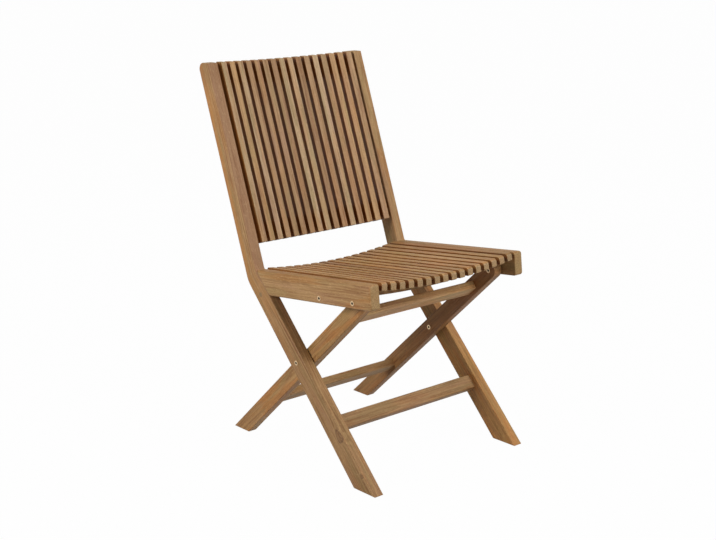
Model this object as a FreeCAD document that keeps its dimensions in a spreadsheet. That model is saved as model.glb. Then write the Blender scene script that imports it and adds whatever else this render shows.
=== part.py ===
"""Folding teak side chair: back frame, rear legs, slatted seat and two steel links.

Millimetres, +Z up, the sitter looks along -Y. The origin is the middle of the footprint, on the
ground. The sitter's right side is the -X side.

Each side of the chair has layers, from outside in: the stile and the seat rail in one plane, a
narrow gap that holds the steel link, then the rear leg.
"""
import FreeCAD, Part
import math
import os
import Sketcher

Vector = FreeCAD.Vector
X_AXIS = Vector(1, 0, 0)

doc = FreeCAD.newDocument("FoldingChair")
sheet = doc.addObject("Spreadsheet::Sheet", "Sizes")

SIZES = [
    # Overall
    ("chair_height", 900),
    ("frame_width", 472),
    ("stile_thick", 26),
    ("layer_gap", 3),
    ("rear_leg_thick", 24),
    # Stile: foot, knee and back, front edge first
    ("foot_front_y", -308.2),
    ("foot_depth", 69.8),
    ("knee_front_y", 106.1),
    ("knee_front_z", 435.5),
    ("knee_rear_z", 401.7),
    ("knee_front_round", 12),
    ("knee_rear_round", 60),
    ("back_tilt", 19.5),
    ("back_width", 41),
    ("stile_top_round", 15),
    ("stile_ease", 1.6),
    # Seat pivot, the joint that the seat and the rear legs share
    ("seat_pivot_y", -239.7),
    ("seat_pivot_z", 425.8),
    ("seat_tilt", 6),
    # Rear leg, measured along its own length down from the seat pivot
    ("rear_leg_tilt", 47.4),
    ("rear_leg_width", 39.5),
    ("rear_leg_ease", 2),
    ("leg_pivot_drop", 269.9),
    ("top_bar_drop", 79),
    ("rear_stretcher_drop", 467.4),
    # Bars between the legs
    ("bar_width", 34.5),
    ("bar_thick", 20),
    ("front_stretcher_rise", 192),
    ("front_stretcher_inset", 14.5),
    ("tenon_length", 12),
    ("tenon_width", 24),
    ("tenon_thick", 10),
    ("bar_ease", 2.5),
    # Seat rail, heights counted from the line through the seat pivot and the link barrel
    ("rail_depth", 56),
    ("rail_below", 12.9),
    ("rail_nose", 60),
    ("rail_stop_gap", 0.6),
    ("rail_edge_round", 5.5),
    ("rail_nose_round", 6.5),
    ("rail_inner_ease", 1.5),
    ("link_barrel_back", 112.8),
    # Slats
    ("slat_width", 16),
    ("slat_end_gap", 9.5),
    ("slat_ease", 1.2),
    ("seat_slat_depth", 19),
    ("seat_slat_back", 345),
    ("seat_edge_rise", 3),
    ("seat_dish", 14.7),
    ("seat_nose_round", 7),
    ("seat_nose_under_round", 3),
    ("seat_rear_round", 4),
    ("back_slat_depth", 18),
    ("back_slat_low", 58.9),
    ("back_edge_proud", 4.3),
    ("back_dish", 15),
    ("back_slat_ease", 1.5),
    # Rails behind the back slats, heights along the back from the knee
    ("back_rail_thick", 22.5),
    ("back_rail_height", 45),
    ("back_rail_low", 63),
    ("top_rail_drop", 14),
    # Battens under the seat slats
    ("batten_width", 40),
    ("batten_sag", 8.5),
    ("batten_housing", 6),
    ("front_batten_middle", 24.6),
    ("front_batten_end", 18.3),
    ("front_batten_gap", 3),
    ("middle_batten_middle", 179),
    ("middle_batten_end", 13),
    ("rear_batten_middle", 294),
    ("rear_batten_width", 30),
    ("rear_batten_end", 14.5),
    ("slat_housing", 1.3),
    # Links, from the barrel in the rail to the screw in the stile
    ("link_screw_y", 88.8),
    ("link_screw_z", 378.4),
    ("link_width", 18),
    ("link_thick", 2),
    ("link_play", 0.5),
    # Metal fittings
    ("fitting_flange_r", 5.6),
    ("fitting_flange_thick", 1.2),
    ("fitting_barrel_r", 4.5),
    ("bolt_r", 4),
    ("socket_r", 2.6),
    ("socket_depth", 4),
    ("running_gap", 0.05),
    ("round_end_flat", 0.01),
    ("face_gap", 0.3),
    ("stud_r", 3),
    ("washer_r", 12),
    ("stud_bore_depth", 14),
    ("stud_end_gap", 1),
    ("link_head_r", 7),
    ("link_head_thick", 1.8),
    ("plug_r", 5),
    ("plug_depth", 6),
    ("screw_r", 1.8),
    ("screw_head_r", 3.6),
    ("screw_head_depth", 2.4),
    ("screw_bite", 11),
    ("screw_proud", 0.2),
]

SLATS = 16
# How near an edge has to be to a place to be taken for the one there, and how flat
NEAR = 0.5
SAME = 0.01
SIDES = {"right": -1, "left": 1}


def fill_sheet():
    """One row per size: its name beside its value."""
    for row, (name, value) in enumerate(SIZES, start=1):
        sheet.set(f"A{row}", name)
        sheet.set(f"B{row}", str(value))
        sheet.setAlias(f"B{row}", name)
    doc.recompute()


def cell(name):
    """Expression text for one size."""
    return f"Sizes.{name}"


def number(expression):
    """Number that an expression gives now, in millimetres or degrees."""
    result = sheet.evalExpression(expression)
    return float(getattr(result, "Value", result))


def size(name):
    return number(cell(name))


fill_sheet()

# Expression texts that several pieces share
HALF_WIDTH = f"{cell('frame_width')} / 2"
STILE_INSIDE = f"({HALF_WIDTH} - {cell('stile_thick')})"
STILE_MIDDLE = f"({HALF_WIDTH} - {cell('stile_thick')} / 2)"
LEG_OUTSIDE = f"({STILE_INSIDE} - {cell('layer_gap')})"
LEG_MIDDLE = f"({LEG_OUTSIDE} - {cell('rear_leg_thick')} / 2)"
LEG_INSIDE = f"({LEG_OUTSIDE} - {cell('rear_leg_thick')})"
SLAT_PITCH = (f"((2 * {STILE_INSIDE} - {cell('slat_width')} - 2 * {cell('slat_end_gap')})"
              f" / {SLATS - 1})")
LINK_MIDDLE = f"({STILE_INSIDE} - {cell('link_play')} - {cell('link_thick')} / 2)"

BACK_LEAN = f"({cell('back_tilt')} * 1 deg)"
LEG_LEAN = f"({cell('rear_leg_tilt')} * 1 deg)"
SEAT_TILT = f"({cell('seat_tilt')} * 1 deg)"
FRONT_LEG_LEAN = (f"atan(({cell('knee_front_y')} - {cell('foot_front_y')})"
                  f" / {cell('knee_front_z')})")

RAIL_TOP = f"({cell('rail_depth')} - {cell('rail_below')})"
BACK_RISE = f"({cell('chair_height')} - {cell('knee_front_z')})"
BACK_SLAT_TOP = (f"(({BACK_RISE} + {cell('back_slat_depth')} * sin({BACK_LEAN}))"
                 f" / cos({BACK_LEAN}))")
TOP_RAIL_LOW = f"({BACK_SLAT_TOP} - {cell('top_rail_drop')} - {cell('back_rail_height')})"

BARREL_Y = f"({cell('seat_pivot_y')} + {cell('link_barrel_back')} * cos({SEAT_TILT}))"
BARREL_Z = f"({cell('seat_pivot_z')} - {cell('link_barrel_back')} * sin({SEAT_TILT}))"
LINK_REACH = f"({cell('link_screw_y')} - {BARREL_Y})"
LINK_RISE = f"({cell('link_screw_z')} - {BARREL_Z})"
LINK_LENGTH = f"sqrt({LINK_REACH} * {LINK_REACH} + {LINK_RISE} * {LINK_RISE})"
LINK_TURN = f"atan({LINK_RISE} / {LINK_REACH})"


class Frame:
    """A local frame: its origin in Y and Z and its turn about X, all as expressions.

    Pieces are drawn in it along their own length, then placed by it.
    """

    def __init__(self, base_y, base_z, turn):
        self.base_y = base_y
        self.base_z = base_z
        self.turn = turn

    def hold(self, piece, x="0", along="0", lift="0"):
        """Put a piece in this frame, moved by x, by along (its Y) and by lift (its Z)."""
        piece.Placement = FreeCAD.Placement(Vector(), FreeCAD.Rotation(X_AXIS, 1))
        turn = self.turn
        piece.setExpression("Placement.Base.x", x)
        piece.setExpression("Placement.Base.y",
                            f"{self.base_y} + ({along}) * cos({turn}) - ({lift}) * sin({turn})")
        piece.setExpression("Placement.Base.z",
                            f"{self.base_z} + ({along}) * sin({turn}) + ({lift}) * cos({turn})")
        piece.setExpression("Placement.Rotation.Angle", turn)
        return piece

    def hold_rolled(self, piece, own_axis, roll, x, along="0", lift="0"):
        """As hold, for a piece that is first rolled about its own long axis, (x; y; z)."""
        turn = self.turn
        place = (f"vector({x};"
                 f" {self.base_y} + ({along}) * cos({turn}) - ({lift}) * sin({turn});"
                 f" {self.base_z} + ({along}) * sin({turn}) + ({lift}) * cos({turn}))")
        turned = f"rotation(vector(1; 0; 0); {turn}) * rotation(vector{own_axis}; {roll})"
        piece.setExpression("Placement", f"placement({place}; {turned})")
        return piece


GROUND = Frame("0", "0", "0 deg")
BACK = Frame(cell("knee_front_y"), cell("knee_front_z"), f"-{BACK_LEAN}")
FRONT_LEG = Frame(cell("foot_front_y"), "0", f"-{FRONT_LEG_LEAN}")
REAR_LEG = Frame(cell("seat_pivot_y"), cell("seat_pivot_z"), LEG_LEAN)
SEAT = Frame(cell("seat_pivot_y"), cell("seat_pivot_z"), f"-{SEAT_TILT}")
LINK = Frame(BARREL_Y, BARREL_Z, LINK_TURN)


def origin_plane(body, role):
    """One of the body's own origin planes."""
    return next(item for item in body.Origin.OriginFeatures if item.Role == role)


def sketch_on(body, role, name):
    """A sketch on one of the body's own origin planes."""
    sketch = body.newObject("Sketcher::SketchObject", f"{body.Name}_{name}")
    sketch.AttachmentSupport = [(origin_plane(body, role), "")]
    sketch.MapMode = "FlatFace"
    return sketch


def fix_point(sketch, edge, end, corner):
    """Tie one sketch point to a pair of expressions."""
    for kind, text in zip(("DistanceX", "DistanceY"), corner):
        index = sketch.addConstraint(Sketcher.Constraint(kind, -1, 1, edge, end, number(text)))
        sketch.setExpression(f"Constraints[{index}]", text)


def draw_outline(sketch, corners):
    """A closed outline with straight edges through corners given as expressions."""
    points = [Vector(number(u), number(v), 0) for u, v in corners]
    for index, point in enumerate(points):
        sketch.addGeometry(Part.LineSegment(point, points[(index + 1) % len(points)]))
    for index, corner in enumerate(corners):
        after = (index + 1) % len(corners)
        sketch.addConstraint(Sketcher.Constraint("Coincident", index, 2, after, 1))
        fix_point(sketch, index, 1, corner)


def draw_bowed_arc(sketch, half, height, bow, way):
    """An arc between (-half, height) and (half, height). Its middle lies `bow` over its ends
    where `way` is 1, and under them where it is -1. It runs counterclockwise."""
    reach, depth = number(half), number(bow)
    radius_text = f"(({half}) * ({half}) + ({bow}) * ({bow})) / (2 * ({bow}))"
    radius = (reach ** 2 + depth ** 2) / (2 * depth)
    spread = math.asin(reach / radius)
    centre = Vector(0, number(height) + way * (depth - radius), 0)
    middle = way * math.pi / 2
    edge = sketch.addGeometry(Part.ArcOfCircle(Part.Circle(centre, Vector(0, 0, 1), radius),
                                               middle - spread, middle + spread))
    start, end = (f"-({half})", half)[::-way]
    fix_point(sketch, edge, 1, (start, height))
    fix_point(sketch, edge, 2, (end, height))
    index = sketch.addConstraint(Sketcher.Constraint("Radius", edge, radius))
    sketch.setExpression(f"Constraints[{index}]", radius_text)
    return edge


def draw_curved_bar(sketch, half, outer, outer_bow, inner, inner_bow, way):
    """A bar's outline between two bowed arcs, closed by straight ends at both sides."""
    arcs = [draw_bowed_arc(sketch, half, outer, outer_bow, way),
            draw_bowed_arc(sketch, half, inner, inner_bow, way)]
    for end, x in ((1, way * number(half)), (2, -way * number(half))):
        end_face = sketch.addGeometry(Part.LineSegment(Vector(x, number(outer), 0),
                                                       Vector(x, number(inner), 0)))
        for point, arc in enumerate(arcs, start=1):
            sketch.addConstraint(Sketcher.Constraint("Coincident", end_face, point, arc, end))


def pad(body, sketch, thickness):
    """Pad a sketch to both sides of its plane."""
    feature = body.newObject("PartDesign::Pad", f"{sketch.Name}_pad")
    feature.Profile = sketch
    feature.SideType = "Symmetric"
    feature.setExpression("Length", thickness)
    doc.recompute()
    return feature


def round_edges(body, name, radius, wanted):
    """Round the edges of the body's last feature that the test `wanted` picks."""
    feature = body.Tip
    names = [f"Edge{place}" for place, edge in enumerate(feature.Shape.Edges, start=1)
             if wanted(edge)]
    fillet = body.newObject("PartDesign::Fillet", f"{body.Name}_{name}")
    fillet.Base = (feature, names)
    fillet.setExpression("Radius", radius)
    doc.recompute()


def across(edge):
    """True for an edge that runs straight along X."""
    box = edge.BoundBox
    return box.XLength > NEAR and box.YLength < SAME and box.ZLength < SAME


def along_the_bar(edge):
    """True for a long level edge of a bar that is bowed across the chair."""
    box = edge.BoundBox
    return box.XLength > NEAR and box.ZLength < SAME


def across_at(*corners):
    """Test for the edges along X over outline corners given as expressions."""
    places = [(number(u), number(v)) for u, v in corners]

    def test(edge):
        middle = edge.BoundBox.Center
        return across(edge) and any(math.hypot(middle.y - u, middle.z - v) < NEAR
                                    for u, v in places)
    return test


def in_plane(x):
    """Test for the edges that lie in the plane at x."""
    def test(edge):
        box = edge.BoundBox
        return abs(box.XMin - x) < SAME and abs(box.XMax - x) < SAME
    return test


def ease_sides(body, radius, thickness, sides=(-1, 1)):
    """Ease the edges round a profile body's side faces."""
    half = number(thickness) / 2
    tests = [in_plane(side * half) for side in sides]
    round_edges(body, "eased", radius, lambda edge: any(test(edge) for test in tests))


def profile_body(name, corners, thickness):
    """A body padded from a side profile, to both sides of its own YZ plane."""
    body = doc.addObject("PartDesign::Body", name)
    sketch = sketch_on(body, "YZ_Plane", "outline")
    draw_outline(sketch, corners)
    pad(body, sketch, thickness)
    return body


nodes = {}


def keep(name, piece):
    """Register a finished sub-part under its node name."""
    piece.Label = name
    nodes[name] = piece
    return piece


def let_into(name, blank, *groups):
    """The blank less what is let into it, one group of pieces after another, so that the pieces
    meet face to face."""
    left = blank
    for turn, tools in enumerate(groups, start=1):
        together = doc.addObject("Part::Compound", f"{name}_tools_{turn}")
        together.Links = tools
        cut = doc.addObject("Part::Cut", f"{name}_cut_{turn}")
        cut.Base = left
        cut.Tool = together
        left = cut
    return keep(name, left)


def box_corners(low_y, low_z, high_y, high_z):
    """Corners of an upright rectangle, from expressions."""
    return [(low_y, low_z), (high_y, low_z), (high_y, high_z), (low_y, high_z)]


def centred_box(middle_y, middle_z, depth, height):
    return box_corners(f"{middle_y} - {depth} / 2", f"{middle_z} - {height} / 2",
                       f"{middle_y} + {depth} / 2", f"{middle_z} + {height} / 2")


def cross_bar(name, frame, middle_y, middle_z, half_clear, depth, height):
    """A bar with eased edges and a tenon at each end, between two uprights.

    Depth is across the frame's Z and height is along it.
    """
    body = profile_body(name, centred_box(middle_y, middle_z, depth, height),
                        f"2 * {half_clear}")
    round_edges(body, "easing", cell("bar_ease"), across)
    tenon = sketch_on(body, "YZ_Plane", "tenon")
    draw_outline(tenon, centred_box(middle_y, middle_z, cell("tenon_thick"),
                                    cell("tenon_width")))
    pad(body, tenon, f"2 * ({half_clear} + {cell('tenon_length')})")
    return frame.hold(body)


def rod(radius, start, end, side, along=0, lift=0):
    """A cylinder along X, from `start` to `end` off the middle plane on one side."""
    low, high = sorted((side * start, side * end))
    return Part.makeCylinder(radius, high - low, Vector(low, along, lift), X_AXIS)


def hex_socket(start, end, side, along, lift):
    """The hexagonal hole of a fitting, as a solid to take away."""
    low, high = sorted((side * start, side * end))
    corners = [Vector(low, along + size("socket_r") * math.cos(math.radians(60 * turn)),
                      lift + size("socket_r") * math.sin(math.radians(60 * turn)))
               for turn in range(7)]
    return Part.Face(Part.makePolygon(corners)).extrude(Vector(high - low, 0, 0))


def flange(face, outward, side, along, lift):
    """A thin round flange on a wooden face, `outward` is 1 away from the middle plane."""
    return rod(size("fitting_flange_r"), face, face + outward * size("fitting_flange_thick"),
               side, along, lift)


def socket_in(face, outward, side, along, lift):
    """The socket that opens in the flange on a wooden face."""
    top = face + outward * size("fitting_flange_thick")
    return hex_socket(top, top - outward * size("socket_depth"), side, along, lift)


def group(name, frame, solids):
    """Separate solids in one object, drawn in a frame."""
    feature = doc.addObject("Part::Feature", name)
    feature.Shape = Part.makeCompound(solids)
    return frame.hold(feature)


def fitting(name, frame, forms, hollows):
    """A node of small fittings. Gives back the object that the wood is cut with."""
    solids = [form.cut(hollows) if hollows else form for form in forms]
    keep(name, group(name, frame, solids))
    return group(f"{name}_room", frame, forms)


def slat_x(place):
    """Expression for the middle of a slat, counted from 0 on the sitter's right."""
    return f"{SLAT_PITCH} * {place - (SLATS - 1) / 2}"


def seat_drop(x):
    """How far the seat lies under the tops of the rails at x: a shallow dish."""
    ratio = f"(({x}) / {STILE_INSIDE})"
    return f"({cell('seat_dish')} * (1 - {ratio} * {ratio}) - {cell('seat_edge_rise')})"


def back_set(x):
    """How far the back's face lies behind the fronts of the stiles at x: a shallow hollow."""
    ratio = f"(({x}) / {STILE_INSIDE})"
    return f"({cell('back_dish')} * (1 - {ratio} * {ratio}) - {cell('back_edge_proud')})"


def slat_roll(x, bow):
    """How far a slat at x is rolled to lie flat on a curve with this bow."""
    return f"-atan(2 * {bow} * ({x}) / ({STILE_INSIDE} * {STILE_INSIDE}))"


def slat_under(x):
    """Height of a seat slat's underside over the pivot line."""
    return f"({RAIL_TOP} - {seat_drop(x)} - {cell('seat_slat_depth')})"


# Fittings, drawn at the frame's own places. Each is a pair of lists: the outer forms, which
# the wood is cut to take, and the sockets and bores that are then taken out of them.

def leg_pivot_bolts():
    """Bolts in the stiles. Each stops at the stile's inner face, where the folding linkage
    is opened; the sleeve nut in the rear leg faces it across the gap."""
    lift = -size("leg_pivot_drop")
    outer, inner = number(HALF_WIDTH), number(STILE_INSIDE)
    forms = [rod(size("bolt_r"), inner, outer, side, 0, lift)
             .fuse(flange(outer, 1, side, 0, lift)) for side in SIDES.values()]
    return forms, [socket_in(outer, 1, side, 0, lift) for side in SIDES.values()]


def leg_pivot_nuts():
    """Sleeve nuts through the rear legs, with a flange on the inner face."""
    lift = -size("leg_pivot_drop")
    outer, inner = number(LEG_OUTSIDE), number(LEG_INSIDE)
    forms = [rod(size("bolt_r"), inner, outer, side, 0, lift)
             .fuse(flange(inner, -1, side, 0, lift)) for side in SIDES.values()]
    return forms, [socket_in(inner, -1, side, 0, lift) for side in SIDES.values()]


def pivot_washers():
    """Spacers on the rear legs' outer faces, round both pivots."""
    start, end = number(LEG_OUTSIDE), number(STILE_INSIDE) - size("face_gap")
    bore = size("bolt_r") + size("running_gap")
    places = [(side, lift) for side in SIDES.values() for lift in (0, -size("leg_pivot_drop"))]
    forms = [rod(size("washer_r"), start, end, side, 0, lift) for side, lift in places]
    return forms, [rod(bore, start, end, side, 0, lift) for side, lift in places]


def seat_pivot_bolts():
    """Bolts through rail, washer and rear leg, with a flange at each end."""
    outer, inner = number(HALF_WIDTH), number(LEG_INSIDE) - size("face_gap")
    forms = [rod(size("bolt_r"), inner, outer, side)
             .fuse([flange(outer, 1, side, 0, 0), flange(inner, -1, side, 0, 0)])
             for side in SIDES.values()]
    sockets = [socket_in(face, outward, side, 0, 0) for side in SIDES.values()
               for face, outward in ((outer, 1), (inner, -1))]
    return forms, sockets


def link_barrels():
    """Sleeve nuts through the seat rails, bored from inside for the links' studs."""
    outer, inner, along = number(HALF_WIDTH), number(STILE_INSIDE), size("link_barrel_back")
    bore = size("stud_r") + size("running_gap")
    forms = [rod(size("fitting_barrel_r"), inner, outer, side, along)
             .fuse(flange(outer, 1, side, along, 0)) for side in SIDES.values()]
    hollows = [socket_in(outer, 1, side, along, 0) for side in SIDES.values()]
    hollows += [rod(bore, inner, inner + size("stud_bore_depth"), side, along)
                for side in SIDES.values()]
    return forms, hollows


def link_studs():
    """Studs riveted flush in the links, turning in the barrels."""
    inner = number(LINK_MIDDLE) - size("link_thick") / 2
    outer = number(STILE_INSIDE) + size("stud_bore_depth") - size("stud_end_gap")
    return [rod(size("stud_r"), inner, outer, side) for side in SIDES.values()], []


def link_screws():
    """Shoulder screws in the stiles, with a flat head over the link's rear eye."""
    face = number(LINK_MIDDLE) - size("link_thick") / 2 - size("face_gap")
    deep = number(STILE_INSIDE) + size("stud_bore_depth")
    along = number(LINK_LENGTH)
    return [rod(size("stud_r"), face, deep, side, along)
            .fuse(rod(size("link_head_r"), face - size("link_head_thick"), face, side, along))
            for side in SIDES.values()], []


def link_eyes():
    """Bores of the links' rear eyes."""
    bore, along = size("stud_r") + size("running_gap"), number(LINK_LENGTH)
    start, end = number(LEG_OUTSIDE), number(STILE_INSIDE)
    return [rod(bore, start, end, side, along) for side in SIDES.values()]


def stile_plugs():
    """Wooden plugs in the stiles' outer faces, over the shoulder screws."""
    outer, along = number(HALF_WIDTH), number(LINK_LENGTH)
    return [rod(size("plug_r"), outer - size("plug_depth"), outer, side, along)
            for side in SIDES.values()], []


def rear_leg_bores():
    """Bores that the seat pivot bolts turn in."""
    bore = size("bolt_r") + size("running_gap")
    return [rod(bore, number(LEG_INSIDE), number(LEG_OUTSIDE), side) for side in SIDES.values()]


def screw(head, direction, clear):
    """A wood screw from its head's outer face: `clear` to the slat, then into it."""
    return (Part.makeCylinder(size("screw_head_r"), size("screw_head_depth"), head, direction)
            .fuse(Part.makeCylinder(size("screw_r"), clear + size("screw_bite"), head,
                                    direction)))


def back_slat_screws():
    """Two screws in each back slat, from behind the rails."""
    clear = size("back_rail_thick") + size("screw_proud")
    screws = []
    for place in range(SLATS):
        face = number(back_set(slat_x(place))) + size("back_slat_depth") + clear
        for low in (cell("back_rail_low"), TOP_RAIL_LOW):
            head = Vector(number(slat_x(place)), face, number(low) + size("back_rail_height") / 2)
            screws.append(screw(head, Vector(0, -1, 0), clear))
    return screws, []


def seat_slat_screws():
    """A screw from under each batten into each slat that crosses it."""
    screws = []
    for batten in BATTENS.values():
        for place in range(SLATS):
            x = number(slat_x(place))
            if abs(x) > number(batten["half"]):
                continue
            low = batten_low(batten, x) - size("screw_proud")
            head = Vector(x, number(batten["middle"]), low)
            screws.append(screw(head, Vector(0, 0, 1), number(slat_under(slat_x(place))) - low))
    return screws, []


def batten_low(batten, x):
    """Height of a batten's underside at x."""
    end = number(slat_under(batten["half"])) - number(batten["end"])
    share = 1 - (x / number(batten["half"])) ** 2
    return end - size("batten_sag") * share


BATTENS = {
    "front_batten": {
        "half": f"({LEG_INSIDE} - {cell('front_batten_gap')})",
        "middle": cell("front_batten_middle"),
        "width": cell("batten_width"),
        "end": cell("front_batten_end"),
    },
    "middle_batten": {
        "half": f"({STILE_INSIDE} + {cell('batten_housing')})",
        "middle": cell("middle_batten_middle"),
        "width": cell("batten_width"),
        "end": cell("middle_batten_end"),
    },
    "rear_batten": {
        "half": f"({STILE_INSIDE} + {cell('batten_housing')})",
        "middle": cell("rear_batten_middle"),
        "width": cell("rear_batten_width"),
        "end": cell("rear_batten_end"),
    },
}


def batten_blank(name, batten):
    """A curved bar under the slats, drawn from the front on its own XZ plane.

    Its top stands a little over the slats' undersides, so each slat sits in a housing.
    """
    body = doc.addObject("PartDesign::Body", name)
    sketch = sketch_on(body, "XZ_Plane", "outline")
    half = batten["half"]
    top = f"({slat_under(half)} + {cell('slat_housing')})"
    low = f"({slat_under(half)} - {batten['end']})"
    ratio = f"({half} / {STILE_INSIDE})"
    draw_curved_bar(sketch, half, top, f"({cell('seat_dish')} * {ratio} * {ratio})",
                    low, cell("batten_sag"), -1)
    pad(body, sketch, batten["width"])
    return SEAT.hold(body, along=batten["middle"])


def back_rail_blank(name, low):
    """A rail behind the back slats, bowed with the hollow of the back, with a tenon at each end.

    Its front stands a little before the slats' backs, so each slat sits in a housing. Only its
    rear edges are eased.
    """
    body = doc.addObject("PartDesign::Body", f"{name}_blank")
    slat_backs = f"({cell('back_slat_depth')} - {cell('back_edge_proud')})"
    front = f"({slat_backs} - {cell('slat_housing')})"
    rear = f"({slat_backs} + {cell('back_rail_thick')})"
    sketch = sketch_on(body, "XY_Plane", "outline")
    draw_curved_bar(sketch, STILE_INSIDE, rear, cell("back_dish"), front, cell("back_dish"), 1)
    pad(body, sketch, cell("back_rail_height"))
    middle = f"(({front} + {rear}) / 2)"
    round_edges(body, "easing", cell("bar_ease"),
                lambda edge: along_the_bar(edge) and edge.Vertexes[0].Y > number(middle))
    root = f"({STILE_INSIDE} - {cell('tenon_length')} / 2)"
    tip = f"({STILE_INSIDE} + {cell('tenon_length')})"
    for side, sign in SIDES.items():
        ends = sorted((f"{sign} * {root}", f"{sign} * {tip}"), key=number)
        tenon = sketch_on(body, "XY_Plane", f"{side}_tenon")
        draw_outline(tenon, box_corners(ends[0], f"{middle} - {cell('tenon_thick')} / 2",
                                        ends[1], f"{middle} + {cell('tenon_thick')} / 2"))
        pad(body, tenon, cell("tenon_width"))
    return BACK.hold(body, lift=f"{low} + {cell('back_rail_height')} / 2")


def stile_blank(side):
    """Front leg and back upright in one piece, with soft knees and a rounded rear top."""
    foot = (cell("foot_front_y"), "0")
    foot_rear = (f"{cell('foot_front_y')} + {cell('foot_depth')}", "0")
    top_front = f"({cell('knee_front_y')} + {BACK_RISE} * tan({BACK_LEAN}))"
    top_rear = f"({top_front} + {cell('back_width')} / cos({BACK_LEAN}))"
    knee_rear_y = (f"{top_rear} - ({cell('chair_height')} - {cell('knee_rear_z')})"
                   f" * tan({BACK_LEAN})")
    knee_front = (cell("knee_front_y"), cell("knee_front_z"))
    knee_rear = (knee_rear_y, cell("knee_rear_z"))
    top = (top_rear, cell("chair_height"))
    name = f"{side}_stile_blank"
    body = profile_body(name, [foot, foot_rear, knee_rear, top,
                               (top_front, cell("chair_height")), knee_front],
                        cell("stile_thick"))
    round_edges(body, "knee_front", cell("knee_front_round"), across_at(knee_front))
    round_edges(body, "knee_rear", cell("knee_rear_round"), across_at(knee_rear))
    round_edges(body, "top", cell("stile_top_round"), across_at(top))
    ease_sides(body, cell("stile_ease"), cell("stile_thick"))
    return GROUND.hold(body, x=f"{SIDES[side]} * {STILE_MIDDLE}")


def rear_leg_blank(side):
    """A straight leg along its own Z, cut level at the ground, with a round top."""
    half = f"{cell('rear_leg_width')} / 2"
    corners = [(f"{sign}{half}", f"-({cell('seat_pivot_z')} {sign} {half} * sin({LEG_LEAN}))"
                                 f" / cos({LEG_LEAN})") for sign in ("-", "+")]
    corners += [(half, half), (f"-{half}", half)]
    body = profile_body(f"{side}_rear_leg_blank", corners, cell("rear_leg_thick"))
    round_edges(body, "crown", f"{half} - {cell('round_end_flat')}", across_at(*corners[2:]))
    ease_sides(body, cell("rear_leg_ease"), cell("rear_leg_thick"))
    return REAR_LEG.hold(body, x=f"{SIDES[side]} * {LEG_MIDDLE}")


def seat_rail_blank(side):
    """A rail whose rear end stands along the front edge of the stile."""
    low = f"-{cell('rail_below')}"
    nose = f"-{cell('rail_nose')}"
    stop = (f"(({cell('foot_front_y')} - {cell('seat_pivot_y')}) * cos({FRONT_LEG_LEAN})"
            f" + {cell('seat_pivot_z')} * sin({FRONT_LEG_LEAN}) - {cell('rail_stop_gap')})"
            f" / cos({FRONT_LEG_LEAN} - {SEAT_TILT})")
    slope = f"tan({FRONT_LEG_LEAN} - {SEAT_TILT})"
    rear_low = f"{stop} + {low} * {slope}"
    rear_top = f"{stop} + {RAIL_TOP} * {slope}"
    corners = [(nose, low), (rear_low, low), (rear_top, RAIL_TOP), (nose, RAIL_TOP)]
    body = profile_body(f"{side}_seat_rail_blank", corners, cell("stile_thick"))
    round_edges(body, "nose", cell("rail_nose_round"), across_at(corners[0], corners[3]))
    on_outer_face = in_plane(SIDES[side] * size("stile_thick") / 2)
    rear = number(rear_low) - NEAR
    round_edges(body, "outer_edges", cell("rail_edge_round"),
                lambda edge: on_outer_face(edge) and edge.BoundBox.YMin < rear)
    ease_sides(body, cell("rail_inner_ease"), cell("stile_thick"), [-SIDES[side]])
    return SEAT.hold(body, x=f"{SIDES[side]} * {STILE_MIDDLE}")


def seat_slat_blank(place):
    """A slat on edge, with a waterfall nose at the front."""
    nose = f"-{cell('rail_nose')}"
    low = f"-{cell('seat_slat_depth')}"
    corners = box_corners(nose, low, cell("seat_slat_back"), "0")
    body = profile_body(f"seat_slat_{place + 1:02d}_blank", corners, cell("slat_width"))
    round_edges(body, "nose", cell("seat_nose_round"), across_at(corners[3]))
    round_edges(body, "under_nose", cell("seat_nose_under_round"), across_at(corners[0]))
    round_edges(body, "rear_end", cell("seat_rear_round"), across_at(corners[2]))
    ease_sides(body, cell("slat_ease"), cell("slat_width"))
    x = slat_x(place)
    return SEAT.hold_rolled(body, "(0; 1; 0)", slat_roll(x, cell("seat_dish")), x,
                            lift=f"{RAIL_TOP} - {seat_drop(x)}")


def back_slat_blank(place):
    """An upright slat, set in the hollow of the back and cut level at the top."""
    deep = cell("back_slat_depth")
    corners = [("0", cell("back_slat_low")), (deep, cell("back_slat_low")),
               (deep, BACK_SLAT_TOP), ("0", f"{BACK_RISE} / cos({BACK_LEAN})")]
    body = profile_body(f"back_slat_{place + 1:02d}_blank", corners, cell("slat_width"))
    round_edges(body, "ends", cell("back_slat_ease"), across)
    ease_sides(body, cell("slat_ease"), cell("slat_width"))
    x = slat_x(place)
    return BACK.hold_rolled(body, "(0; 0; 1)", slat_roll(x, cell("back_dish")), x,
                            along=back_set(x))


def link_blank(side):
    """A flat steel bar with round ends, along its own Y."""
    half = f"{cell('link_width')} / 2"
    corners = box_corners(f"-{half}", f"-{half}", f"{LINK_LENGTH} + {half}", half)
    body = profile_body(f"{side}_link_blank", corners, cell("link_thick"))
    round_edges(body, "eyes", f"{half} - {cell('round_end_flat')}", across)
    return LINK.hold(body, x=f"{SIDES[side]} * {LINK_MIDDLE}")


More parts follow.
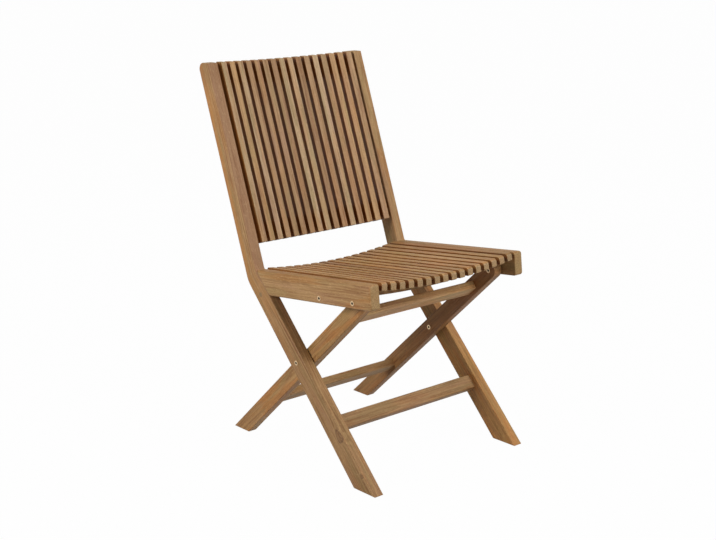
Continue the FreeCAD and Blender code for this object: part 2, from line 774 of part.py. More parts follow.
def build():
    """Make every sub-part. Fittings first, because the wood is cut to take them."""
    seat_screws = fitting("seat_slat_screws", SEAT, *seat_slat_screws())
    back_screws = fitting("back_slat_screws", BACK, *back_slat_screws())
    leg_bolts = fitting("leg_pivot_bolts", REAR_LEG, *leg_pivot_bolts())
    leg_nuts = fitting("leg_pivot_nuts", REAR_LEG, *leg_pivot_nuts())
    seat_bolts = fitting("seat_pivot_bolts", SEAT, *seat_pivot_bolts())
    barrels = fitting("link_barrels", SEAT, *link_barrels())
    studs = fitting("link_studs", LINK, *link_studs())
    screws = fitting("link_screws", LINK, *link_screws())
    plugs = fitting("stile_plugs", LINK, *stile_plugs())
    fitting("pivot_washers", REAR_LEG, *pivot_washers())
    leg_bores = group("rear_leg_bores", REAR_LEG, rear_leg_bores())
    eyes = group("link_eye_bores", LINK, link_eyes())

    bar_width, bar_thick = cell("bar_width"), cell("bar_thick")
    stretcher = keep("front_stretcher", cross_bar(
        "front_stretcher", FRONT_LEG, f"{cell('front_stretcher_inset')} + {bar_thick} / 2",
        cell("front_stretcher_rise"), STILE_INSIDE, bar_thick, bar_width))
    rear_bars = [keep(name, cross_bar(name, REAR_LEG, "0", f"-{cell(drop)}", LEG_INSIDE,
                                      bar_thick, bar_width))
                 for name, drop in (("rear_top_bar", "top_bar_drop"),
                                    ("rear_stretcher", "rear_stretcher_drop"))]

    back_slats = [let_into(f"back_slat_{place + 1:02d}", back_slat_blank(place), [back_screws])
                  for place in range(SLATS)]
    back_rails = [let_into(name, back_rail_blank(name, low), back_slats, [back_screws])
                  for name, low in (("back_bottom_rail", cell("back_rail_low")),
                                    ("back_top_rail", TOP_RAIL_LOW))]
    slats = [let_into(f"seat_slat_{place + 1:02d}", seat_slat_blank(place), [seat_screws])
             for place in range(SLATS)]
    battens = {name: let_into(name, batten_blank(f"{name}_blank", batten), slats, [seat_screws])
               for name, batten in BATTENS.items()}

    for side in SIDES:
        let_into(f"{side}_stile", stile_blank(side),
                 [stretcher, *back_rails, leg_bolts, screws, plugs])
        let_into(f"{side}_rear_leg", rear_leg_blank(side), [*rear_bars, leg_nuts, leg_bores])
        let_into(f"{side}_seat_rail", seat_rail_blank(side),
                 [seat_bolts, barrels, battens["middle_batten"], battens["rear_batten"]])
        let_into(f"{side}_link", link_blank(side), [studs, eyes])
    doc.recompute()


def check():
    """Stop on any failed object or broken shape."""
    for item in doc.Objects:
        if {"Invalid", "Error"} & set(item.State):
            raise RuntimeError(f"{item.Name} failed: {item.State}")
    for name, piece in nodes.items():
        if piece.Shape.isNull() or not piece.Shape.isValid() or piece.Shape.Volume <= 0:
            raise RuntimeError(f"{name} has no valid shape")


def write():
    """One STEP file per node."""
    os.makedirs("parts", exist_ok=True)
    for name, piece in nodes.items():
        piece.Shape.exportStep(f"parts/{name}.step")
    print(f"{len(nodes)} sub-parts written")


build()
check()
write()
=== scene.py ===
"""Folding teak side chair: oiled teak boards, brushed steel fittings, plain white studio."""

import math

import bpy
import numpy as np
from mathutils import Matrix, Vector


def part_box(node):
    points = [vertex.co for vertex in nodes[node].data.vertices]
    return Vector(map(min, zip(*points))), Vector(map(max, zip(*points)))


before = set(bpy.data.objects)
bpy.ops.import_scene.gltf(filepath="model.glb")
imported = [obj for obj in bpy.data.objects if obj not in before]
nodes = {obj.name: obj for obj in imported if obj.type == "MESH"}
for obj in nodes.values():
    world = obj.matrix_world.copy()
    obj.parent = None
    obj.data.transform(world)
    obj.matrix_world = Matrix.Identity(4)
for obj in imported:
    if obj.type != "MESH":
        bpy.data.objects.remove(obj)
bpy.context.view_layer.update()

# Lengths are in metres, "right" and "left" are the sitter's.

# Directions of the boards, in degrees from upright, positive leaning to the rear at the top
LEG_LEAN = 43.57
BACK_LEAN = 19.5
REAR_LEG_LEAN = -47.4
SEAT_LEAN = 96.0
BATTEN_LEAN = 6.0

# Where the front edge of a stile bends. Then two pairs of heights over the bend: between the
# first the grain turns, between the second the colour of the lower leg sets in.
KNEE = Vector((0.0, 0.1061, 0.4355))
GRAIN_TURNS = (-0.035, 0.005)
LOWER_LEG_STARTS = (0.02, -0.16)

# The hollows of seat and back across the chair: half the clear width, and how deep they are
HALF_CLEAR = 0.210
SEAT_HOLLOW = 0.0147
BACK_HOLLOW = 0.0150

# Patterns of the grain: waves per metre along the board and across it, the noise's detail and
# roughness, and how far it is warped
WAVE = (3.2, 24.0, 2.0, 0.5, 0.0)
FIBRE = (16.0, 420.0, 3.0, 0.6, 0.3)
STREAK = (7.0, 110.0, 2.0, 0.55, 0.5)
PORE = (90.0, 1500.0, 1.0, 0.5, 0.0)
FLECK = (110.0, 330.0, 2.0, 0.6, 0.0)
BLOTCH = (6.0, 46.0, 2.0, 0.55, 0.0)
SPECK = (620.0, 620.0, 2.0, 0.6, 0.0)
# What sets the cool blotches off from the warm ones
COOL_SHIFT = (31.0, 17.0, 5.0)
# Where in their noise the pores, the specks of the ends and the roughness start and are full
PORE_SPAN = (0.64, 0.72)
SPECK_SPAN = (0.35, 0.65)
ROUGH_SPAN = (0.3, 0.7)

# Growth rings: how near and how far their pith line lies before or behind the board, how far
# beside its middle, how many rings there are, how they are picked out from their noise, and how
# far they wander with the wave
PITH_NEAR = 0.05
PITH_FAR = 0.10
PITH_BESIDE = 0.03
RINGS_PER_METRE = 260.0
RING_DETAIL = 2.0
RING_ROUGHNESS = 0.62
RING_SPAN = (0.36, 0.62)
RING_WANDER = 0.022

# Knots: how deep one reaches in from its face, how it narrows with every step uphill, how fast
# it fades, where its rim lies, and how far it pushes the rings, in its own widths
KNOT_DEPTH = 0.012
KNOT_TAPER = 0.45
KNOT_FADE = -0.8
KNOT_RIM = 0.8
KNOT_PUSH = 1.3

# Colours of teak, as screen values from 0 to 255
RING_DARK = (128, 88, 50)
RING_LIGHT = (176, 140, 96)
ORANGE_WOOD = (180, 120, 60)
PORE_DARK = (76, 48, 24)
END_DARK = (116, 94, 60)
END_LIGHT = (178, 150, 108)
# painted shade for the edges
EDGE_SHADE_COLOUR = (104, 82, 54)

# Layers of colour: the pattern that each follows, where in the pattern it starts and is full,
# its share there, and its colour
DRIFT_LAYERS = (
    ("streak", 0.40, 0.66, 0.5, (190, 156, 112)),  # straw
    ("cool", 0.50, 0.62, 0.5, (150, 126, 80)),  # olive
    ("cool", 0.46, 0.34, 0.4, (162, 122, 94)),  # pink
)
FIBRE_LAYERS = (
    ("streak", 0.42, 0.30, 0.5, (126, 82, 44)),  # brown streaks
    ("fibre", 0.52, 0.30, 0.4, (112, 72, 36)),  # dark fibres
    ("fleck", 0.56, 0.70, 0.3, (206, 172, 128)),  # pale flecks
)
KNOT_LAYERS = (
    ("eye", 0.40, 0.80, 0.5, (120, 84, 52)),  # the knot
    ("rim", 0.55, 0.95, 0.55, (96, 64, 40)),  # its dark rim
)

# How far the edge of a patch of colour sways, in its own widths
PATCH_SWAY = 1.2
# Where the orange drifts start and are full, and the share of colour that pores and ends take
ORANGE_SPAN = (0.50, 0.62)
PORE_SHARE = 0.5
END_SHARE = 0.75
# How squarely a face has to look along the board, or across it, to be an end or a flank
END_FACING = (0.72, 0.9)
FLANK_FACING = (0.8, 0.98)
# Painted shade on the edges, for their dark outlines: the radius that the turn of the surface
# is read over, and the turn's cosine where the shade starts and is full
EDGE_REACH = 0.0022
EDGE_TURN = (0.995, 0.86)
EDGE_SAMPLES = 4

# Surfaces: roughness of the low and the high parts, and the relief's strength and depth. Then
# the detail and roughness of the noise that makes the scratches of steel.
TEAK_ROUGHNESS = (0.68, 0.54)
TEAK_RELIEF = (0.35, 0.0004)
STEEL_ROUGHNESS = (0.3, 0.46)
STEEL_RELIEF = (0.1, 0.0001)
SCRATCH_DETAIL = 3.0
SCRATCH_ROUGHNESS = 0.6
# Shares of rings, fibres and pores in the relief of teak, and how oiled wood bends light
RING_HEIGHT = 0.35
FIBRE_HEIGHT = 0.9
PORE_HEIGHT = -0.8
OILED_IOR = 1.42

# A fitting's socket is painted black, as painted shade in its hollow: how far from its axis
# the shade ends, and where it is full
SOCKET_SHADE_SPAN = (0.0032, 0.0027)
SOCKET_SHADE = (14, 9, 5)


def srgb(r, g, b):
    """A colour given as 0 to 255 screen values, as the linear colour that the shaders take."""
    c = np.array([r, g, b], float) / 255.0
    lin = np.where(c <= 0.04045, c / 12.92, ((c + 0.055) / 1.055) ** 2.4)
    return (*lin.tolist(), 1.0)


def shade(colour, tone):
    """A teak colour in screen values, tinted by a tone: shares of red, green and blue."""
    return tuple(min(c * t, 1.0) for c, t in zip(srgb(*colour)[:3], tone)) + (1.0,)


def upright_grain(lean):
    """Turn that brings a board's length, leaning this far from upright, onto the X axis.

    The board's thickness, which runs across the chair, comes onto Y, and its depth onto Z.
    """
    a = math.radians(lean)
    along = Vector((0.0, math.sin(a), math.cos(a)))
    across = Vector((1.0, 0.0, 0.0))
    return Matrix((along, across, along.cross(across)))


def cross_grain(lean):
    """Turn for a bar across the chair: its length stays on X, its section is squared up."""
    a = math.radians(lean)
    up = Vector((0.0, math.sin(a), math.cos(a)))
    along = Vector((1.0, 0.0, 0.0))
    return Matrix((along, along.cross(up) * -1.0, up))


def lying_flat(turn, x, hollow):
    """Turn for a slat that lies flat in a hollow across the chair, x from its middle."""
    roll = math.atan(2.0 * hollow * x / HALF_CLEAR**2)
    along, across, deep = (Vector(row) for row in turn)
    return Matrix(
        (
            along,
            across * math.cos(roll) - deep * math.sin(roll),
            deep * math.cos(roll) + across * math.sin(roll),
        )
    )


class Sheet:
    """Small helper that lays shader nodes and joins them."""

    def __init__(self, tree):
        self.tree = tree
        self.tree.nodes.clear()

    def node(self, kind, values=(), **settings):
        """A node with its settings, and with a value or a link for each socket named."""
        made = self.tree.nodes.new(kind)
        for key, value in settings.items():
            setattr(made, key, value)
        for socket, value in dict(values).items():
            self.put(value, made.inputs[socket])
        return made

    def put(self, value, socket):
        """Give a socket its value, or the link that brings it."""
        if isinstance(value, bpy.types.NodeSocket):
            self.tree.links.new(value, socket)
        else:
            socket.default_value = value

    def sum(self, kind, a, b=0.0, c=0.0):
        """One step of arithmetic."""
        return self.node("ShaderNodeMath", {0: a, 1: b, 2: c}, operation=kind).outputs[0]

    def squares(self, a, b):
        """The square of a and the square of b, added."""
        return self.sum("ADD", self.sum("MULTIPLY", a, a), self.sum("MULTIPLY", b, b))

    def steps(self, value, middle, step):
        """How many steps the value lies from the middle."""
        return self.sum("MULTIPLY", self.sum("SUBTRACT", value, middle), 1.0 / step)

    def vector(self, kind, a, b):
        """One step of arithmetic on each axis."""
        return self.node("ShaderNodeVectorMath", {0: a, 1: b}, operation=kind).outputs[0]

    def dot(self, a, b):
        """The cosine of the angle between two directions."""
        made = self.node("ShaderNodeVectorMath", {0: a, 1: b}, operation="DOT_PRODUCT")
        return made.outputs[1]

    def axes(self, vector):
        return self.node("ShaderNodeSeparateXYZ", {0: vector}).outputs

    def span(self, value, low, high, to_low=0.0, to_high=1.0, soft=True):
        """The value's way from low to high, as a way from to_low to to_high."""
        ends = {"From Min": low, "From Max": high, "To Min": to_low, "To Max": to_high}
        kind = "SMOOTHSTEP" if soft else "LINEAR"
        made = self.node(
            "ShaderNodeMapRange", {"Value": value, **ends}, interpolation_type=kind
        )
        return made.outputs[0]

    def noise(self, vector, detail, rough, warp=0.0):
        """A soft random pattern from 0 to 1, about one wave to a unit."""
        settings = {"Scale": 1.0, "Detail": detail, "Roughness": rough, "Distortion": warp}
        return self.node("ShaderNodeTexNoise", {"Vector": vector, **settings}).outputs[0]

    def blend(self, share, a, b, kind="MIX"):
        """Colour b over colour a, by the share."""
        made = self.node("ShaderNodeMix", data_type="RGBA", blend_type=kind)
        self.put(share, made.inputs[0])
        self.put(a, made.inputs[6])
        self.put(b, made.inputs[7])
        return made.outputs[2]

    def darken(self, share, colour, left):
        """Where the share is full, only the parts `left` of red, green and blue stay."""
        return self.blend(share, colour, self.blend(1.0, colour, (*left, 1.0), "MULTIPLY"))

    def facing(self, direction, start, full):
        """1 on faces that look along a direction or against it, by the angle's cosine."""
        normal = self.node("ShaderNodeTexCoord").outputs["Normal"]
        return self.span(self.sum("ABSOLUTE", self.dot(normal, tuple(direction))), start, full)

    def surface(self, colour, rough, height, relief, **more):
        """Join colour, roughness and relief to the material's output."""
        strength, depth = relief
        bump = self.node(
            "ShaderNodeBump", {"Strength": strength, "Distance": depth, "Height": height}
        ).outputs[0]
        face = self.node(
            "ShaderNodeBsdfPrincipled",
            {"Base Color": colour, "Roughness": rough, "Normal": bump, **more},
        )
        self.node("ShaderNodeOutputMaterial", {0: face.outputs[0]})


def new_material(name):
    """A material, and the sheet that its nodes are laid on."""
    material = bpy.data.materials.new(name)
    material.use_nodes = True
    return material, Sheet(material.node_tree)


def board_place(sheet, turn, centre, bend):
    """Board coordinates: length on X, thickness on Y, depth on Z, zero at the board's centre.

    A bent stile has two runs that meet at the knee, so its grain turns there, over 40 mm, and
    its zero is the knee. The second value is how far down a bent stile the point lies, from 0
    over the knee to 1 in the lower leg.
    """
    spot = sheet.node("ShaderNodeTexCoord").outputs["Object"]

    def run(matrix, origin):
        place = {
            "Vector": spot,
            "Location": tuple(-(matrix @ Vector(origin))),
            "Rotation": tuple(matrix.to_euler("XYZ")),
        }
        return sheet.node("ShaderNodeMapping", place, vector_type="POINT").outputs[0]

    if bend is None:
        return run(turn, centre), None
    origin = Vector((centre[0], KNEE.y, KNEE.z))
    above = run(turn, origin)
    below = run(bend, origin)
    height = sheet.axes(spot)[2]
    share = sheet.span(height, *(KNEE.z + rise for rise in GRAIN_TURNS))
    low_run = sheet.span(height, *(KNEE.z + rise for rise in LOWER_LEG_STARTS))
    both = sheet.node("ShaderNodeMix", data_type="VECTOR")
    sheet.put(share, both.inputs[0])
    sheet.put(below, both.inputs[4])
    sheet.put(above, both.inputs[5])
    return both.outputs[1], low_run


def growth_rings(sheet, axes, wave, rng, knots):
    """Growth rings from 0 to 1: shells round a pith line that lies beside the board.

    A ring is a noise of the distance from the pith line, so a face cut along the rings shows
    long arches, an edge straight lines and an end arcs. A knot is a tear drop, its tip uphill,
    that reaches in from one broad face: the squared distance from its middle, in its own length,
    width and depth, gives its eye and its rim and is added to the rings' distance.
    """
    pith = rng.uniform(PITH_NEAR, PITH_FAR) * rng.choice((-1, 1))
    side = rng.uniform(-PITH_BESIDE, PITH_BESIDE)
    reach = sheet.sum(
        "SQRT", sheet.squares(sheet.sum("ADD", axes[1], side), sheet.sum("ADD", axes[2], pith))
    )
    reach = sheet.sum("MULTIPLY_ADD", wave, RING_WANDER, reach)

    eye = rim = None
    for along, across, deep, wide, long in knots:
        u = sheet.steps(axes[0], along, long)
        taper = sheet.sum("MULTIPLY_ADD", u, KNOT_TAPER, 1.0)
        v = sheet.sum("MULTIPLY", sheet.steps(axes[2], deep, wide), taper)
        w = sheet.steps(axes[1], across, KNOT_DEPTH)
        far = sheet.sum("MULTIPLY_ADD", w, w, sheet.squares(u, v))
        near = sheet.sum("EXPONENT", sheet.sum("MULTIPLY", far, KNOT_FADE))
        reach = sheet.sum("MULTIPLY_ADD", near, wide * KNOT_PUSH, reach)
        off_rim = sheet.sum("ABSOLUTE", sheet.sum("SUBTRACT", far, KNOT_RIM))
        ring = sheet.sum("SUBTRACT", 1.0, off_rim)
        eye = near if eye is None else sheet.sum("MAXIMUM", eye, near)
        rim = ring if rim is None else sheet.sum("MAXIMUM", rim, ring)

    rings = sheet.node(
        "ShaderNodeTexNoise",
        {
            "W": reach,
            "Scale": RINGS_PER_METRE,
            "Detail": RING_DETAIL,
            "Roughness": RING_ROUGHNESS,
        },
        noise_dimensions="1D",
    ).outputs[0]
    return sheet.span(rings, *RING_SPAN), eye, rim


def teak(name, turn, centre, seed, tone, ends=None, foot=None, bend=None, knots=(),
         patches=(), flanks=None, wear=0.35, figure=0.6, flame=0.4):
    """Oiled teak, cut from one board.

    Over the growth rings lie fibres a fraction of a millimetre wide, short dark pores, and slow
    drifts from honey to orange, olive and pink.

    `turn` and `centre` place the board, `seed` picks its piece of the tree.
    `tone` and `ends` tint the sides and the ends cut across the grain, `foot` the lower leg of
    a bent stile, and `bend` is the turn of that leg.
    Each of the `knots` has its place along, across and deep in the board, its width and length.
    Each of the `patches` is a drift to another colour: the axis that it follows (0 along,
    1 across, 2 deep), where it starts and is full, the colour and its share.
    `flanks` is the share of colour left on the two broad flanks of a slat: painted shade
    for the dark gaps between the slats. `wear` is painted shade along the edges, for their
    dark outlines, `figure` the strength of the rings and `flame` that of the orange drifts.
    """
    rng = np.random.default_rng(seed)
    material, sheet = new_material(name)
    board, low_run = board_place(sheet, turn, centre, bend)
    drift = sheet.vector("ADD", board, tuple(rng.uniform(-9, 9, 3)))

    def grain(kind, shift=(0.0, 0.0, 0.0)):
        along, across, detail, rough, warp = kind
        run = sheet.vector("MULTIPLY", drift, (along, across, across))
        return sheet.noise(sheet.vector("ADD", run, shift), detail, rough, warp)

    wave = grain(WAVE)
    axes = sheet.axes(board)
    rings, eye, rim = growth_rings(sheet, axes, wave, rng, knots)
    pores = sheet.span(grain(PORE), *PORE_SPAN)
    pattern = {
        "fibre": grain(FIBRE),
        "streak": grain(STREAK),
        "fleck": grain(FLECK),
        "warm": grain(BLOTCH),
        "cool": grain(BLOTCH, COOL_SHIFT),
        "eye": eye,
        "rim": rim,
    }

    def lay(layers, colour):
        for which, start, full, share, tint in layers:
            share_here = sheet.span(pattern[which], start, full, 0.0, share)
            colour = sheet.blend(share_here, colour, shade(tint, tone))
        return colour

    colour = sheet.blend(
        sheet.span(rings, 0.0, 1.0, 1.0 - figure, 1.0, soft=False),
        shade(RING_DARK, tone),
        shade(RING_LIGHT, tone),
    )
    colour = lay((*DRIFT_LAYERS, ("warm", *ORANGE_SPAN, flame, ORANGE_WOOD)), colour)
    for axis, start, full, tint, share in patches:
        # the patch's edge sways with the wave, and on a bent stile the patch ends at the knee
        sway = sheet.sum("SUBTRACT", wave, 0.5)
        place = sheet.sum("MULTIPLY_ADD", sway, PATCH_SWAY * (full - start), axes[axis])
        share_here = sheet.span(place, start, full, 0.0, share)
        if low_run is not None:
            share_here = sheet.sum("MULTIPLY", share_here, sheet.sum("SUBTRACT", 1.0, low_run))
        colour = sheet.blend(share_here, colour, shade(tint, tone))
    colour = lay(FIBRE_LAYERS, colour)
    pore_share = sheet.sum("MULTIPLY", pores, PORE_SHARE)
    colour = sheet.blend(pore_share, colour, shade(PORE_DARK, tone))
    if knots:
        colour = lay(KNOT_LAYERS, colour)
    if foot is not None:
        colour = sheet.darken(low_run, colour, foot)

    # the ends, cut across the grain, are greyer and speckled
    end_wood = sheet.blend(
        sheet.span(grain(SPECK), *SPECK_SPAN),
        shade(END_DARK, ends or tone),
        shade(END_LIGHT, ends or tone),
    )
    cut = sheet.facing(turn[0], *END_FACING)
    colour = sheet.blend(sheet.sum("MULTIPLY", cut, END_SHARE), colour, end_wood)
    # painted shade: the slats' flanks are darkened, for the shade in the gaps between them
    if flanks is not None:
        colour = sheet.darken(sheet.facing(turn[1], *FLANK_FACING), colour, flanks)

    # painted shade: the edges are darkened where the surface turns within a short reach
    soft = sheet.node("ShaderNodeBevel", {"Radius": EDGE_REACH}, samples=EDGE_SAMPLES).outputs[0]
    flat = sheet.node("ShaderNodeNewGeometry").outputs["True Normal"]
    edge = sheet.span(sheet.dot(soft, flat), *EDGE_TURN, 0.0, wear)
    colour = sheet.blend(edge, colour, shade(EDGE_SHADE_COLOUR, tone))

    fibre = pattern["fibre"]
    rough = sheet.span(fibre, *ROUGH_SPAN, *TEAK_ROUGHNESS, soft=False)
    height = sheet.sum("MULTIPLY", fibre, FIBRE_HEIGHT)
    height = sheet.sum("MULTIPLY_ADD", rings, RING_HEIGHT, height)
    height = sheet.sum("MULTIPLY_ADD", pores, PORE_HEIGHT, height)
    sheet.surface(colour, rough, height, TEAK_RELIEF, IOR=OILED_IOR)
    return material


def steel(name, scratches, light, dark, eye=None):
    """Brushed steel, with fine scratches: so many per metre along X, Y and Z.

    `eye` is the (y, z) of a fitting's axis: its socket is painted black, as painted shade in its
    hollow.
    """
    material, sheet = new_material(name)
    spot = sheet.node("ShaderNodeTexCoord").outputs["Object"]
    run = sheet.vector("MULTIPLY", spot, scratches)
    brushed = sheet.noise(run, SCRATCH_DETAIL, SCRATCH_ROUGHNESS)
    colour = sheet.blend(brushed, srgb(*dark), srgb(*light))
    rough = sheet.span(brushed, *ROUGH_SPAN, *STEEL_ROUGHNESS, soft=False)
    metal = 1.0
    if eye is not None:
        # painted shade: the socket is painted black, for the shade in its hollow
        place = sheet.axes(spot)
        dy = sheet.sum("SUBTRACT", place[1], eye[0])
        dz = sheet.sum("SUBTRACT", place[2], eye[1])
        shaded_socket = sheet.span(sheet.sum("SQRT", sheet.squares(dy, dz)), *SOCKET_SHADE_SPAN)
        colour = sheet.blend(shaded_socket, colour, srgb(*SOCKET_SHADE))
        rough = sheet.sum("MAXIMUM", rough, shaded_socket)
        metal = sheet.sum("SUBTRACT", 1.0, shaded_socket)
    sheet.surface(colour, rough, brushed, STEEL_RELIEF, Metallic=metal)
    return material


def centre_of(name):
    """The middle of a piece's box."""
    low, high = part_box(name)
    return (low + high) / 2


def dress(name, material):
    """Give a piece one material, over all of it."""
    nodes[name].data.materials.clear()
    nodes[name].data.materials.append(material)


def finish_board(name, turn, seed, tone, **more):
    """Dress a wooden piece in teak cut from a board of its own."""
    dress(name, teak("teak_" + name, turn, centre_of(name), seed, tone, **more))


BACK = upright_grain(BACK_LEAN)
LEG = upright_grain(LEG_LEAN)
REAR_LEG = upright_grain(REAR_LEG_LEAN)
SEAT = upright_grain(SEAT_LEAN)

# Tones of the boards, as shares of red, green and blue
HONEY = (1.0, 0.955, 0.86)
ORANGE = (1.0, 0.9, 0.72)
BAR = (0.79, 0.73, 0.65)
# the rear top bar's tone is brightened: painted light, for the lamp's light falling on it
PAINTED_LIGHT_BAR = (1.38, 1.36, 1.3)
# the battens' dark tone is painted shade, for the shade under the seat
UNDER_SEAT_SHADE = (0.76, 0.64, 0.48)
PLUG = (0.75, 0.7, 0.66)

# The right stile has a golden rear half, a pinkish front edge and a brown top. Its lower leg is
# greyer, with a large knot and a small one.
finish_board(
    "right_stile", BACK, 11, HONEY, foot=(0.86, 0.82, 0.78), bend=LEG, figure=0.75, flame=0.3,
    knots=(
        (-0.440, -0.013, 0.0114, 0.010, 0.017),
        (-0.5447, -0.013, 0.006, 0.004, 0.006),
    ),
    patches=(
        (2, 0.020, 0.030, (186, 124, 62), 0.55),
        (2, 0.006, 0.000, (150, 112, 84), 0.75),
        (0, 0.42, 0.47, (138, 100, 62), 0.45),
    ),
)
finish_board("left_stile", BACK, 12, (0.91, 0.87, 0.78), foot=(1.18, 1.03, 0.78), bend=LEG)
finish_board("right_rear_leg", REAR_LEG, 21, ORANGE, figure=0.7, flame=0.5)
# The left rear leg's dark tone is painted shade, for the shade under the seat.
finish_board("left_rear_leg", REAR_LEG, 22, (0.78, 0.61, 0.44), flame=0.3)

# The rails' upper edges, where hands and legs rub, are browner.
WORN_TOP = ((2, -0.020, -0.027, (132, 98, 62), 0.55),)
finish_board("right_seat_rail", SEAT, 31, (1.04, 0.98, 0.87), figure=0.7, patches=WORN_TOP)
finish_board("left_seat_rail", SEAT, 32, (0.94, 0.89, 0.76), patches=WORN_TOP)

for name, lean, seed, tone in (
    ("back_top_rail", BACK_LEAN, 41, HONEY),
    ("back_bottom_rail", BACK_LEAN, 42, HONEY),
    ("front_stretcher", LEG_LEAN, 43, BAR),
    ("rear_top_bar", REAR_LEG_LEAN, 44, PAINTED_LIGHT_BAR),
    ("rear_stretcher", REAR_LEG_LEAN, 45, HONEY),
    ("front_batten", BATTEN_LEAN, 46, UNDER_SEAT_SHADE),
    ("middle_batten", BATTEN_LEAN, 47, UNDER_SEAT_SHADE),
    ("rear_batten", BATTEN_LEAN, 48, UNDER_SEAT_SHADE),
):
    finish_board(name, cross_grain(lean), seed, tone, flame=0.25)
finish_board("stile_plugs", cross_grain(0.0), 51, PLUG)

# The slats come from boards of eight tones. Their flanks are darkened, as painted shade for
# the gaps between the slats, and the seat's front ends are bleached.
SLAT_TONES = {
    "ash": (1.12, 1.22, 1.44),
    "cream": (1.08, 1.05, 1.02),
    "rosy": (0.94, 0.91, 0.97),
    "umber": (0.8, 0.75, 0.74),
    "wheat": (1.03, 0.99, 0.9),
    "gold": (0.96, 0.88, 0.74),
    "tawny": (0.88, 0.79, 0.64),
    "bark": (0.7, 0.62, 0.5),
}
BACK_FLANK_SHADE = (0.52, 0.29, 0.07)
SEAT_FLANK_SHADE = (0.6, 0.41, 0.2)
PALE_ENDS = (1.08, 1.06, 1.12)
# How the boards fell out, from right to left
BACK_BOARDS = (
    "ash cream ash rosy rosy rosy umber ash "
    "ash umber rosy ash rosy cream cream rosy"
).split()
SEAT_BOARDS = (
    "gold wheat tawny tawny tawny tawny bark gold "
    "gold tawny gold gold wheat tawny tawny bark"
).split()
for n, (back_board, seat_board) in enumerate(zip(BACK_BOARDS, SEAT_BOARDS), start=1):
    # slats of the same number stand at the same place across the chair
    back_slat, seat_slat = f"back_slat_{n:02d}", f"seat_slat_{n:02d}"
    x = centre_of(back_slat).x
    finish_board(back_slat, lying_flat(BACK, x, BACK_HOLLOW), 100 + n, SLAT_TONES[back_board],
                 flanks=BACK_FLANK_SHADE, wear=0.12, figure=0.4, flame=0.25)
    finish_board(seat_slat, lying_flat(SEAT, x, SEAT_HOLLOW), 200 + n, SLAT_TONES[seat_board],
                 flanks=SEAT_FLANK_SHADE, wear=0.15, figure=0.5, ends=PALE_ENDS)

# Links, screws and washers are bright steel. The fittings that show in the wood are tinted tan,
# a painted reflection of the wood around them, and their sockets are painted black as painted
# shade. Each pair is the light and the dark colour of the scratches.
BRIGHT = ((210, 206, 198), (170, 166, 158))
WOOD_REFLECTION = ((226, 200, 162), (190, 160, 122))
FINE_SCRATCHES = (900.0, 900.0, 900.0)
LONG_SCRATCHES = (300.0, 60.0, 900.0)
for name in ("right_link", "left_link"):
    dress(name, steel("steel_" + name, LONG_SCRATCHES, *BRIGHT))
for name in ("back_slat_screws", "seat_slat_screws", "link_screws", "link_studs",
             "pivot_washers"):
    dress(name, steel("steel_" + name, FINE_SCRATCHES, *BRIGHT))
for name in ("leg_pivot_bolts", "leg_pivot_nuts", "seat_pivot_bolts", "link_barrels"):
    axis = centre_of(name)
    dress(name, steel("dull_" + name, FINE_SCRATCHES, *WOOD_REFLECTION, eye=(axis.y, axis.z)))

# The studio: a pale floor that turns white to the eye but keeps the chair's shadow, a faint
# light from all sides, and soft lamps
WHITE = (1.0, 1.0, 1.0, 1.0)
FLOOR_HALF = 30
FLOOR_GREY = (0.45, 0.45, 0.45, 1.0)
FLOOR_WHITENESS = 0.985
AIR_LIGHT = 0.08


def white_when_seen(sheet, lit, white, share):
    """The shader `lit` for the light, and `white` for the eye, in mirrors and through glass."""
    rays = sheet.node("ShaderNodeLightPath")
    seen = sheet.sum("MAXIMUM", rays.outputs["Is Camera Ray"], rays.outputs["Is Glossy Ray"])
    seen = sheet.sum("MAXIMUM", seen, rays.outputs["Is Transmission Ray"])
    seen = sheet.sum("MULTIPLY", seen, share)
    mixed = sheet.node(
        "ShaderNodeMixShader", {0: seen, 1: lit.outputs[0], 2: white.outputs[0]}
    )
    return mixed.outputs[0]


floor_mesh = bpy.data.meshes.new("floor")
corners = [(x * FLOOR_HALF, y * FLOOR_HALF, 0) for x, y in ((-1, -1), (1, -1), (1, 1), (-1, 1))]
floor_mesh.from_pydata(corners, [], [(0, 1, 2, 3)])
floor = bpy.data.objects.new("floor", floor_mesh)
bpy.context.scene.collection.objects.link(floor)
floor_paint, sheet = new_material("studio_floor")
paint = sheet.node("ShaderNodeBsdfDiffuse", {"Color": FLOOR_GREY})
glow = sheet.node("ShaderNodeEmission", {"Color": WHITE, "Strength": 1.0})
mixed = white_when_seen(sheet, paint, glow, FLOOR_WHITENESS)
sheet.node("ShaderNodeOutputMaterial", {0: mixed})
floor_mesh.materials.append(floor_paint)

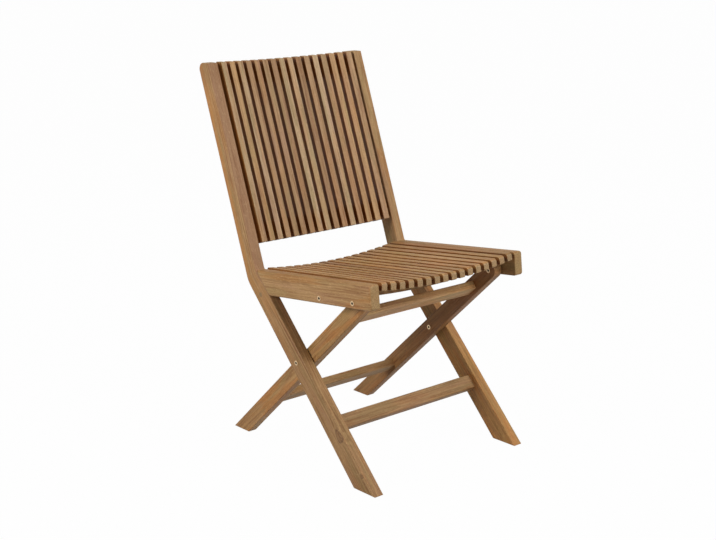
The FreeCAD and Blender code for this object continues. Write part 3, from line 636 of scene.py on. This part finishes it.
world = bpy.data.worlds.new("studio")
bpy.context.scene.world = world
world.use_nodes = True
sheet = Sheet(world.node_tree)
plain = sheet.node("ShaderNodeBackground", {"Color": WHITE, "Strength": AIR_LIGHT})
white = sheet.node("ShaderNodeBackground", {"Color": WHITE, "Strength": 1.0})
mixed = white_when_seen(sheet, plain, white, 1.0)
sheet.node("ShaderNodeOutputWorld", {0: mixed})

# Lamps: where each stands, the height on the chair's middle that it aims at, the side of its
# square and its power in watts
for name, place, aim, side, power in (
    ("front_softbox", (0.9, -3.3, 2.7), 0.5, 2.2, 124),
    ("left_softbox", (-3.3, 0.5, 2.3), 0.55, 1.8, 96),
    ("top_softbox", (0.2, 0.2, 3.4), 0.4, 2.2, 12),
):
    lamp = bpy.data.lights.new(name, "AREA")
    lamp.shape = "SQUARE"
    lamp.size = side
    lamp.energy = power
    box = bpy.data.objects.new(name, lamp)
    bpy.context.scene.collection.objects.link(box)
    box.location = place
    ray = Vector((0, 0, aim)) - Vector(place)
    box.rotation_euler = ray.to_track_quat("-Z", "Y").to_euler()

# The camera stands where the photo was taken from: its place, how far it is turned from
# straight to the rear, tipped down and rolled, in degrees, and its lens and film in millimetres
CAMERA_PLACE = (-1.99284, -2.29504, 1.19304)
CAMERA_TURNS = (40.784, 14.387, -0.437)
LENS = 66.16
FILM_WIDTH = 36.0
camera_data = bpy.data.cameras.new("camera")
camera = bpy.data.objects.new("camera", camera_data)
bpy.context.scene.collection.objects.link(camera)
bpy.context.scene.camera = camera
camera_data.sensor_width = FILM_WIDTH
camera_data.lens = LENS
azimuth, elevation, roll = (math.radians(v) for v in CAMERA_TURNS)
ahead = Vector(
    (
        math.sin(azimuth) * math.cos(elevation),
        math.cos(azimuth) * math.cos(elevation),
        -math.sin(elevation),
    )
)
right = Vector((math.cos(azimuth), -math.sin(azimuth), 0.0))
up = right.cross(ahead)
turned_right = right * math.cos(roll) + up * math.sin(roll)
turned_up = up * math.cos(roll) - right * math.sin(roll)
camera.matrix_world = Matrix.Translation(CAMERA_PLACE) @ Matrix(
    (turned_right, turned_up, -ahead)
).transposed().to_4x4()

bpy.context.scene.view_settings.view_transform = "Standard"
